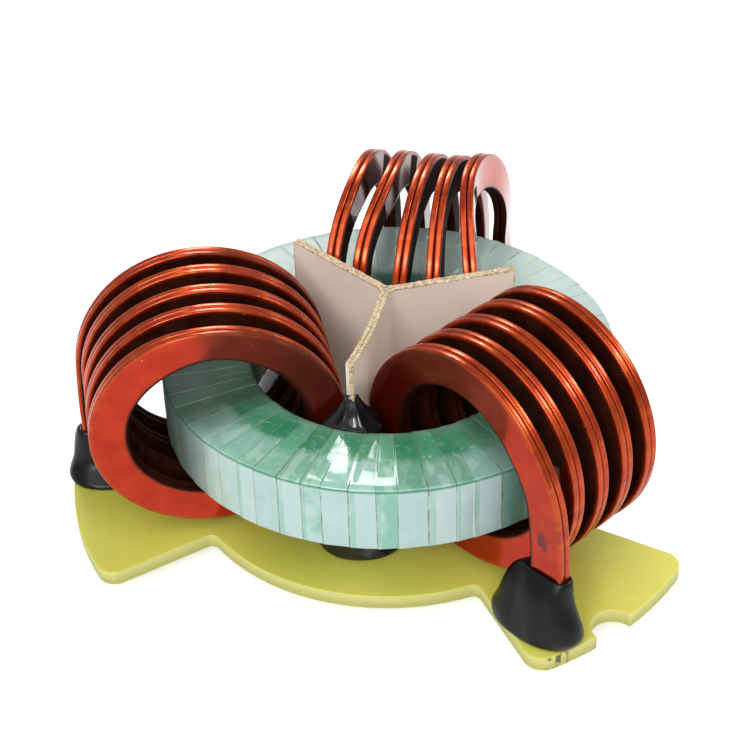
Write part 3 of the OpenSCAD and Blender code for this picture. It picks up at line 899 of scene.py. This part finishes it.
def boot_loop(place, beyond, squareness, z):
    """Points round a pair of wires, reaching beyond them inwards, outwards, in front and behind."""
    inward, outward, front, back = (v * mm for v in beyond)
    hx, hy = (WIRE_W + inward + outward) / 2, (PAIR_T + front + back) / 2
    cx, cy = (outward - inward) / 2, (back - front) / 2
    points = []
    for k in range(BOOT_POINTS):
        angle = -TAU * k / BOOT_POINTS
        c, s = cos(angle), sin(angle)
        x = cx + hx * abs(c) ** (1 - squareness) * (1 if c > 0 else -1)
        y = cy + hy * abs(s) ** (1 - squareness) * (1 if s > 0 else -1)
        points.append(place @ Vector((x, y, z)))
    return points


# Loops of a boot from its foot up: reach beyond the pair inwards, outwards, in front and behind,
# squareness, height, all in millimetres but the squareness
TALL_BOOT = [
    ((7.6, 3.3, 4.9, 3.6), 0.10, 0.0), ((7.8, 3.9, 5.1, 3.8), 0.10, 0.6),
    ((7.7, 4.5, 5.1, 3.2), 0.10, 1.6), ((7.5, 4.8, 4.9, 2.4), 0.12, 2.8),
    ((6.9, 4.5, 4.6, 1.9), 0.13, 4.2), ((6.2, 3.6, 4.2, 1.7), 0.16, 5.9),
    ((5.6, 2.5, 3.6, 1.6), 0.20, 7.8), ((5.1, 1.8, 2.9, 1.5), 0.24, 9.6),
    ((4.5, 1.4, 2.0, 1.4), 0.30, 11.2), ((3.7, 1.1, 1.2, 1.2), 0.34, 12.4),
    ((2.4, 0.8, 0.6, 0.8), 0.40, 13.0), ((0.8, 0.3, 0.2, 0.3), 0.60, 13.1),
]
SHORT_BOOT = [
    ((8.0, 3.7, 4.0, 7.0), 0.10, 0.0), ((8.2, 3.8, 4.2, 7.2), 0.10, 0.6),
    ((7.4, 3.3, 4.0, 5.6), 0.12, 1.7), ((6.4, 2.5, 3.6, 3.2), 0.15, 3.2),
    ((5.2, 2.2, 3.0, 2.3), 0.20, 5.0), ((4.6, 1.9, 2.6, 2.0), 0.25, 6.8),
    ((4.2, 1.6, 2.2, 1.7), 0.30, 8.4), ((3.4, 1.2, 1.5, 1.3), 0.32, 9.7),
    ((2.2, 0.8, 0.8, 0.8), 0.40, 10.3), ((0.7, 0.3, 0.2, 0.3), 0.60, 10.4),
]
BOOT_FALL = 0.20                                       # by which a mouth slopes down inwards
BACK_BOOT_REACH = 0.6                                  # the plate ends close outside this boot
BOOT_POINTS = 48
WIRE_FIT = (-0.3, -0.3, -0.3, -0.3)                    # its hole is this much inside the wires


def make_boot(coil, material):
    """A bell set fast round the wires, folded where it shrank on, and lower on its inward side."""
    steps = SHORT_BOOT if coil.letter == "c" else TALL_BOOT
    if coil.letter == "b":
        steps = [((inward, outward * BACK_BOOT_REACH, *ends), square, z)
                 for (inward, outward, *ends), square, z in steps]
    lead = lead_middle("outer", coil.letter)
    place = Matrix.Translation(lead) @ coil.place.to_3x3().to_4x4()
    inside = [(WIRE_FIT, 0.8, steps[-1][2] - 0.2), (WIRE_FIT, 0.8, 0.0)]
    bm = bmesh.new()
    loops = [boot_loop(place, beyond, square, z * mm) for beyond, square, z in steps + inside]
    first, last = tube(bm, loops)
    bmesh.ops.bridge_loops(bm, edges=first + last)
    back = place.inverted()
    tall = steps[-1][2] * mm
    for vert in bm.verts:
        x, y, z = back @ vert.co
        beyond = max(abs(x) - WIRE_W / 2, abs(y) - PAIR_T / 2, 0.0) / mm
        high = z / tall
        if beyond < 0.1 or high < 0.01:
            continue
        loose = ease(beyond / 2.5) * ease(high * 5)
        angle = atan2(y, x)
        fold = noise.noise(Vector((cos(angle) * 2.1 + coil.seed, sin(angle) * 2.1, high * 1.1)))
        dent = noise.noise(Vector((cos(angle) * 1.2, sin(angle) * 1.2 + coil.seed, high * 3.2)))
        out = Vector((x, y * 1.5, 0)).normalized() * (0.55 * fold + 0.30 * dent) * loose
        # The front is drawn in beside the wires' inward edge
        if y < 0:
            out.y += 0.9 * loose * ease(high * 1.6) * max(0.0, 1 - abs(x / mm + 4.4) / 1.8)
        down = BOOT_FALL * max(0.0, -x - WIRE_W / 2) * ease(high * 1.4)
        vert.co = place @ Vector((x + out.x * mm, y + out.y * mm, z - down))
    piece = finished(f"lead_cap_{coil.letter}", bm, [material],
                     [f"lead_boot_{coil.letter}"])
    smooth_out(piece, 1)
    return piece


# Direction in degrees, extra reach as a share, and height in millimetres, of each blob's slump;
# blob c's long slump is partly painted shade: black epoxy put where the ring's hole lies in shade
SLUMPS = {"a": (5, 0.24, 5.2), "b": (0, 0.0, 1.0), "c": (172, 0.62, 15.5)}
TENT_HEIGHTS = {"a": 1.0, "b": 1.0, "c": 0.5}          # of each tent, as a share of the tall ones'
TOP = RING_TOP / mm
# Loops of a blob and its tent from the foot up: height and radius in millimetres, and how deep
# the folds are as a share
TENT = [
    (3.0, 7.5, 0), (3.5, 7.6, 0), (4.4, 7.4, 0), (6.2, 7.0, 0), (9.0, 6.7, 0), (13.0, 6.2, 0),
    (17.0, 5.4, 0), (24.0, 4.8, 0), (27.5, 4.9, 0), (29.3, 5.3, 0.3), (30.2, 5.4, 0.5),
    (TOP + 0.1, 5.1, 0.7), (TOP + 0.8, 4.2, 0.9), (TOP + 1.8, 3.2, 1.0), (TOP + 2.8, 2.4, 1.0),
    (TOP + 3.9, 1.8, 0.9), (TOP + 5.0, 1.4, 0.7), (TOP + 5.8, 1.1, 0.5), (TOP + 6.1, 0.6, 0.3),
]
TENT_POINTS = 64


def make_potting(letter, material):
    """A blob under the ring, and a folded tent over the end of a divider's arm."""
    azimuth = ARM_AZIMUTH[letter]
    middle = Vector((cos(azimuth), sin(azimuth), 0)) * POTTING_R
    toward, extra, tall = SLUMPS[letter]
    share = TENT_HEIGHTS[letter]
    loops = []
    for z, radius, fold in TENT:
        z = min(z, TOP) + max(z - TOP, 0) * share
        peak = z > TOP + 4.5 * share
        points = []
        for k in range(TENT_POINTS):
            angle = TAU * k / TENT_POINTS + azimuth
            ridge = abs(sin((angle - azimuth) * 3.5 + 0.9 + 0.35 * sin(2 * angle))) ** 0.7
            crumple = noise.noise(Vector((cos(angle) * 1.6, sin(angle) * 1.6, z * 0.18 + ord(letter))))
            r = radius * (1 + fold * (0.10 - 0.24 * ridge + 0.16 * crumple)) * mm
            r *= 1 + extra * max(0.0, cos(angle - radians(toward))) ** 2 * ease((tall - z) * 0.6)
            lift = fold * (0.9 * abs(sin(angle - azimuth)) ** 3 - 0.3) if peak else 0.0
            p = middle + Vector((cos(angle) * r, sin(angle) * r, (z + lift) * mm))
            # Inside the ring it keeps within the hole
            limit = RING_HOLE_R + 0.15 * mm + 1.1 * mm * ease((z - 28.8) / 2.0)
            flat = hypot(p.x, p.y)
            if z > 16 and flat > limit:
                p.x, p.y = p.x * limit / flat, p.y * limit / flat
            points.append(p)
        loops.append(points)
    bm = bmesh.new()
    first, last = tube(bm, loops)
    bmesh.ops.holes_fill(bm, edges=first + last, sides=0)
    piece = finished(f"black_tent_{letter}", bm, [material],
                     [f"potting_{letter}"])
    smooth_out(piece, 1)
    return piece


# ---------- stage and light ----------

def make_stage():
    mesh = bpy.data.meshes.new("floor")
    bm = bmesh.new()
    bmesh.ops.create_grid(bm, x_segments=1, y_segments=1, size=3)
    bmesh.ops.translate(bm, vec=(0, 0, STANDS_AT), verts=bm.verts)
    bm.to_mesh(mesh)
    bm.free()
    piece = placed("floor", mesh)
    s = new_material("white_paper")
    ray = {name: s.add("ShaderNodeLightPath", {}, {}, name)
           for name in ("Is Camera Ray", "Is Glossy Ray", "Is Transmission Ray")}
    mirrored = (ray["Is Glossy Ray"] + ray["Is Transmission Ray"]).clamped()
    strength = ray["Is Camera Ray"] * 0.60 + mirrored * 0.25
    paper = s.add("ShaderNodeBsdfDiffuse", {}, {"Color": (0.80, 0.80, 0.80)})
    glow = s.add("ShaderNodeEmission", {}, {"Color": (1.0, 1.0, 1.0), "Strength": strength})
    both = s.add("ShaderNodeAddShader", {}, {0: paper, 1: glow})
    s.add("ShaderNodeOutputMaterial", {}, {"Surface": both})
    mesh.materials.append(s.owner)

    world = bpy.data.worlds.new("studio")
    bpy.context.scene.world = world
    s = Shading(world)
    seen = s.add("ShaderNodeLightPath", {}, {}, "Is Camera Ray")
    background = s.add("ShaderNodeBackground", {},
                       {"Color": (1.0, 1.0, 1.0), "Strength": 0.40 + seen * 0.60})
    s.add("ShaderNodeOutputWorld", {}, {"Surface": background})


def make_lamp(name, azimuth, elevation, distance, size, brightness):
    """A soft box that faces the part. Azimuth and elevation are in degrees from the front, and
    brightness is that of its own front, where white paper is about 1."""
    lamp = bpy.data.lights.new(name, "AREA")
    lamp.shape = "RECTANGLE"
    lamp.size, lamp.size_y = size
    lamp.energy = brightness * pi * size[0] * size[1]
    thing = placed(name, lamp)
    a, e = radians(azimuth), radians(elevation)
    away = Vector((sin(a) * cos(e), -cos(a) * cos(e), sin(e)))
    thing.location = away * distance + Vector((0, 0, 0.02))
    thing.rotation_euler = (-away).to_track_quat("-Z", "Y").to_euler()


def make_lights():
    make_lamp("back_box", 203, 36, 1.0, (0.24, 0.20), 17.0)
    make_lamp("right_box", 115, 39, 1.0, (0.22, 0.22), 13.0)
    make_lamp("front_box", 354, 33, 1.0, (0.26, 0.26), 11.0)
    make_lamp("overhead_box", 5, 57, 1.2, (1.3, 1.2), 1.65)


# ---------- the part ----------

make_camera()
make_stage()
make_lights()

wire_materials = [enamelled_copper(), tinned_copper(), shaded_enamel()]
for coil in COILS:
    for number in (1, 2):
        make_wire(coil, number, wire_materials)
make_tape(film_tape())
board = pressboard()
for letter in "abc":
    make_divider_sheet(letter, board)
make_plate(glass_epoxy())
rubber = boot_rubber()
for coil in COILS:
    make_boot(coil, rubber)
epoxy = epoxy_potting()
for letter in "abc":
    make_potting(letter, epoxy)

carried_over = {"ferrite_core": sintered_ferrite()}
for letter in "abc":
    carried_over[f"inner_sleeve_{letter}"] = rubber
for node, material in carried_over.items():
    mesh = frame["nodes"][node].data
    mesh.materials.clear()
    mesh.materials.append(material)

bpy.context.scene.view_settings.view_transform = "Standard"
